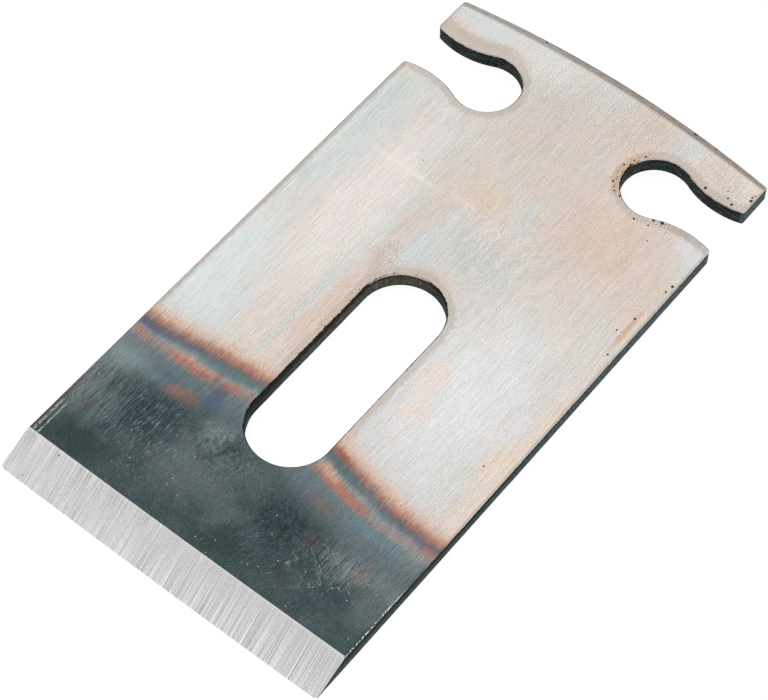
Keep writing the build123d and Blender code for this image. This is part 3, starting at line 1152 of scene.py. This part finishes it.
def worn_wall(sizes, colours):
    """Scaled walls, worn bare along their upper rim, with painted highlights, painted glints and painted
    shade.
    """
    fin = Finish("worn_wall")
    thickness = sizes.thickness / MM
    roll = sizes.die_roll / MM
    blotches = fin.noise((0.45, 0.45, 0.25), detail=3.0, roughness=0.7, shift=51)
    patches = fin.noise((1.2, 1.2, 0.6), detail=4.0, roughness=0.7, shift=53)
    aside = fin.math("ABSOLUTE", fin.across)
    slot_reach = sizes.slot_width / 2 / MM + 0.2
    in_slot = fin.times(fin.fade(aside, slot_reach + 0.2, slot_reach), fin.fade(fin.along, 62, 60))
    scale = wall_scale(fin, colours, aside, in_slot, blotches, patches)
    # Painted shade below the rims: a black band under each rim, reaching lower down at the hardened end
    uneven = fin.math("ADD", fin.minus(patches, 0.5), fin.minus(blotches, 0.5))
    shade_below_rim = fin.fade(fin.along, 30, 60, 1.3, 2.0)
    shade_below_rim = fin.minus(fin.math("MULTIPLY_ADD", uneven, 1.4, fin.height), shade_below_rim)
    scale = fin.over(scale, (16, 21, 22), fin.fade(shade_below_rim, 0.0, 0.4, 0, 0.9))
    # Rims are bare steel down to a ragged border on the wall, partly real wear and partly painted highlight:
    # the border reaches far down on rims that face the camera and stays near the top on the others, and on
    # those of the slot and of the right notch's seat.
    both = {0: fin.direction, 1: CAMERA_WAY}
    facing = fin.add("ShaderNodeVectorMath", both, "Value", operation="DOT_PRODUCT")
    unhighlighted_rims = fin.most(in_slot, fin.patch(10, 91, 7, 7, source=fin.place))
    facing = fin.math("MULTIPLY_ADD", unhighlighted_rims, -0.65, facing)
    border = fin.fade(facing, -0.3, 0.3, thickness - roll * 0.12, thickness - roll * 0.95)
    ragged = fin.math("MULTIPLY_ADD", uneven, roll * 0.8, fin.height)
    bare = fin.fade(fin.minus(ragged, border), -0.04, 0.04)
    upper = fin.fade(fin.height, thickness - roll * 0.6, thickness - roll)
    # Painted highlight: near-white over the upper part of the rims that face the camera, beyond the hardened
    # end
    painted_rim_highlight = fin.times(fin.fade(facing, 0.2, 0.6), upper, fin.fade(fin.along, 26, 32), 0.7)
    face = fin.over(rim_colour(fin, colours), (250, 244, 236), painted_rim_highlight)
    colour = fin.mix(bare, scale, face)
    fin.fill(fin.shader, {"Specular IOR Level": DULL})
    roughness = fin.fade(bare, 0, 1, 0.7, 0.36)
    metallic = fin.fade(bare, 0, 1, 0.0, 1.0)
    return fin.finish(colour, roughness, blotches, 0.05, metallic)


def ground_bevel(sizes, colours):
    """Bevel of the cutting edge, with the wheel's slightly slanted lines."""
    fin = Finish("ground_bevel")
    slant = radians(5)
    run = (sizes.thickness - sizes.edge_land) / tan(sizes.bevel_angle) / MM
    fine = fin.noise((0.11, 14, 30), detail=1.0, turn=slant, shift=61)
    broad = fin.noise((0.5, 15, 30), turn=slant, shift=67)
    grain = fin.noise((0.1, 0.12, 0.3), detail=1.0, shift=63)
    colour = fin.over(colours.bevel, (204, 203, 203), fin.fade(fin.along, 0, run))
    colour = fin.shaded(colour, fine, 1.75)
    colour = fin.shaded(colour, broad, 0.2)
    colour = fin.varied(colour, broad, (0.06, -0.03, 0.03))
    colour = fin.shaded(colour, grain, 0.8)
    # Painted highlight: a light line along the bevel's upper border, standing in for the glint of that edge
    colour = fin.over(colour, (232, 230, 226), fin.fade(fin.along, run - 0.3, run - 0.1, 0, 0.3))
    pits = [(70, 64, 60, x, y, radius * 1.2, radius * 1.2, 1.0, 0) for x, y, radius in BEVEL_PITS]
    colour = fin.stained(colour, pits, fin.place)
    return fin.finish(colour, 0.34, fine, 0.01)


def ground_slope():
    """Sloping band at the far end, dull and brownish."""
    fin = Finish("ground_slope")
    mottle = fin.noise((1.2, 0.6, 1), detail=4.0, roughness=0.65, shift=71)
    grain = fin.noise((0.14, 0.14, 0.2), detail=1.0, shift=73)
    colour = fin.mix(fin.fade(fin.across, -27, 10), tone(172, 169, 163), tone(166, 153, 143))
    colour = fin.shaded(colour, mottle, 1.1)
    colour = fin.shaded(colour, grain, 1.6)
    colour = fin.tinged(colour, mottle, 0.2)
    colour = fin.over(colour, (96, 90, 84), fin.fade(fin.height, 2.2, 2.0, 0, 0.5))
    pits = [(52, 44, 38, x, y, radius * 1.6, radius * 1.6, 1.0, 0) for x, y, _, radius in SLOPE_PITS]
    colour = fin.stained(colour, pits, fin.place)
    return fin.finish(colour, 0.45, mottle, 0.02)


def rusty_pit():
    """Inside of the rust pits."""
    fin = Finish("rusty_pit")
    mottle = fin.noise((0.08, 0.08, 0.08), shift=91)
    colour = fin.mix(fin.fade(mottle, 0.35, 0.65), tone(40, 33, 30), tone(96, 72, 56))
    fin.fill(fin.shader, {"Specular IOR Level": DULL})
    return fin.finish(colour, 0.8, mottle, 0.02, 0.0)


def ground_back(colours):
    """Flat back: the same steel, brushed, with the heat tint but without the stains of handling."""
    fin = Finish("ground_back")
    fin.brush(shift=81)
    mottle = fin.fade(fin.noise((9, 24, 9), detail=3.0, shift=83), 0.3, 0.7)
    steel = fin.mix(mottle, tone(206, 208, 207), tone(216, 208, 200))
    steel = fin.shaded(steel, fin.short, 0.4)
    steel = fin.shaded(steel, fin.grain, 0.5)
    oxide = fin.over(colours.oxide, (96, 108, 109), fin.noise((4, 5, 4), detail=4.0, shift=85))
    oxide = fin.shaded(oxide, fin.short, 0.8)
    return fin.finish(tinted(fin, steel, oxide), 0.36, fin.short, 0.006)


# How closely a face has to match a ground surface: its distance from it, and the cosine of its tilt
NEAR_ENOUGH = 0.02 * MM
SAME_TILT = 0.01
# Faces that open upwards at least this much, within this share of a pit's radius, belong to the pit
PIT_OPENS_UP = 0.1
PIT_ROOM = 1.25


def part_of_blade(face, sizes):
    """Which finish a face of the blade takes, by its place and its direction."""
    place = face.center
    direction = face.normal
    if direction.z < -NEARLY_LEVEL:
        return "ground_back"
    if direction.z > LEVEL and abs(place.z - sizes.thickness) < NEAR_ENOUGH:
        return "tempered_face"
    centre, radius = edge_arc(sizes)
    inland = radius - hypot(place.x - centre[0], place.y - centre[1])
    bevel_z = sizes.edge_land + inland * tan(sizes.bevel_angle)
    tilted = abs(direction.z - cos(sizes.bevel_angle)) < SAME_TILT
    if tilted and abs(place.z - bevel_z) < NEAR_ENOUGH and direction.y < 0:
        return "ground_bevel"
    start = CROWN_Y - sizes.slope_width
    out = hypot(place.x - sizes.crown_offset, place.y - start + sizes.slope_radius) - sizes.slope_radius
    slope_z = sizes.thickness - out * tan(sizes.slope_angle)
    tilted = abs(direction.z - cos(sizes.slope_angle)) < SAME_TILT
    if tilted and abs(place.z - slope_z) < NEAR_ENOUGH and direction.y > 0:
        return "ground_slope"
    x = place.x / MM
    y = (place.y - EDGE_Y) / MM
    for pit_x, pit_y, *_, radius in (*PITS, *BEVEL_PITS, *SLOPE_PITS):
        if direction.z > PIT_OPENS_UP and hypot(x - pit_x, y - pit_y) < radius * PIT_ROOM:
            return "rusty_pit"
    return "worn_wall"


class KNIFE_OT_finish(Operator):
    """Give each face of the blade the finish of its place"""

    bl_idname = "knife.finish"
    bl_label = "Finish"
    bl_options = {"REGISTER", "UNDO"}

    def execute(self, context):
        sizes = context.scene.blade_sizes
        colours = context.scene.finish_colours
        blade = bpy.data.objects[BLADE_NAME]
        finishes = (
            tempered_face(sizes, colours),
            worn_wall(sizes, colours),
            ground_bevel(sizes, colours),
            ground_slope(),
            rusty_pit(),
            ground_back(colours),
        )
        numbers = {}
        for number, material in enumerate(finishes):
            blade.data.materials.append(material)
            numbers[material.name] = number
        for face in blade.data.polygons:
            face.material_index = numbers[part_of_blade(face, sizes)]
        return {"FINISHED"}


class StageSettings(PropertyGroup):
    """Floor, light and camera of the portrait."""

    camera_place: FloatVectorProperty(
        name="Camera place",
        description="Where the camera stands",
        default=(122.38 * MM, -157.23 * MM, 300.24 * MM),
        subtype="XYZ",
        unit="LENGTH",
    )
    camera_turn: FloatVectorProperty(
        name="Camera turn",
        description="How the camera is turned about X, Y and Z",
        default=(radians(32.959), radians(-0.079), radians(38.708)),
        subtype="EULER",
    )
    lens: FloatProperty(
        name="Lens",
        description="Focal length of the camera, in millimetres",
        default=123.52,
    )


def floor_finish():
    """Pale floor that looks white and keeps the blade's soft shadow."""
    material = bpy.data.materials.new("pale_floor")
    material.use_nodes = True
    nodes = Nodes(material.node_tree)
    # Only what the camera sees, straight or in a mirror or glass, gets the floor's own glow
    rays = nodes.tree.nodes.new("ShaderNodeLightPath").outputs
    seen = nodes.most(rays["Is Camera Ray"], rays["Is Glossy Ray"], rays["Is Transmission Ray"])
    inputs = {
        "Base Color": (0.16, 0.16, 0.16, 1),
        "Roughness": 1,
        "Specular IOR Level": 0,
        "Emission Color": WHITE,
        "Emission Strength": nodes.times(seen, 0.9),
    }
    nodes.fill(nodes.tree.nodes["Principled BSDF"], inputs)
    return material


def soft_studio():
    """Even pale light, brightest overhead and greyer towards the horizon."""
    world = bpy.data.worlds.new("soft_studio")
    world.use_nodes = True
    nodes = Nodes(world.node_tree)
    direction = nodes.add("ShaderNodeTexCoord", {}, "Generated")
    upward = nodes.add("ShaderNodeSeparateXYZ", {0: direction}, "Z")
    seen = nodes.add("ShaderNodeLightPath", {}, "Is Camera Ray")
    strength = nodes.most(nodes.fade(upward, -0.1, 0.65, 0.45, 1.0), seen)
    nodes.fill(nodes.tree.nodes["Background"], {"Color": WHITE, "Strength": strength})
    return world


# The floor is this wide, and lies this much below the blade
FLOOR_SIZE = 3
FLOOR_GAP = 0.02 * MM
# Width of the camera's picture plane, in millimetres
SENSOR_WIDTH = 36
# Nearest and farthest that the camera sees
CLIPS = (0.01, 10)


class KNIFE_OT_stage(Operator):
    """Set up the pale floor, the soft light and the camera"""

    bl_idname = "knife.stage"
    bl_label = "Stage"
    bl_options = {"REGISTER", "UNDO"}

    def execute(self, context):
        settings = context.scene.stage_settings
        deselect_all()
        bpy.ops.mesh.primitive_plane_add(size=FLOOR_SIZE, location=(0, 0, -FLOOR_GAP))
        floor = context.object
        floor.name = "floor"
        floor.data.materials.append(floor_finish())
        context.scene.world = soft_studio()
        bpy.ops.object.camera_add(location=settings.camera_place, rotation=settings.camera_turn)
        camera = context.object
        camera.name = "camera"
        camera.data.lens = settings.lens
        camera.data.sensor_width = SENSOR_WIDTH
        camera.data.clip_start, camera.data.clip_end = CLIPS
        context.scene.camera = camera
        context.scene.view_settings.view_transform = "Standard"
        return {"FINISHED"}


class KNIFE_PT_sidebar(Panel):
    """Sidebar panel that lists the operators"""

    bl_idname = "KNIFE_PT_sidebar"
    bl_label = "Planer knife"
    bl_space_type = "VIEW_3D"
    bl_region_type = "UI"
    bl_category = "Planer knife"

    def draw(self, context):
        self.layout.operator(KNIFE_OT_blade.bl_idname)
        self.layout.operator(KNIFE_OT_finish.bl_idname)
        self.layout.operator(KNIFE_OT_stage.bl_idname)


CLASSES = (
    BladeSizes,
    FinishColours,
    StageSettings,
    KNIFE_OT_blade,
    KNIFE_OT_finish,
    KNIFE_OT_stage,
    KNIFE_PT_sidebar,
)


def register():
    for cls in CLASSES:
        bpy.utils.register_class(cls)
    bpy.types.Scene.blade_sizes = PointerProperty(type=BladeSizes)
    bpy.types.Scene.finish_colours = PointerProperty(type=FinishColours)
    bpy.types.Scene.stage_settings = PointerProperty(type=StageSettings)


def unregister():
    del bpy.types.Scene.stage_settings
    del bpy.types.Scene.finish_colours
    del bpy.types.Scene.blade_sizes
    for cls in reversed(CLASSES):
        bpy.utils.unregister_class(cls)


def main():
    register()
    bpy.ops.knife.blade()
    bpy.ops.knife.finish()
    bpy.ops.knife.stage()


if __name__ == "__main__":
    main()
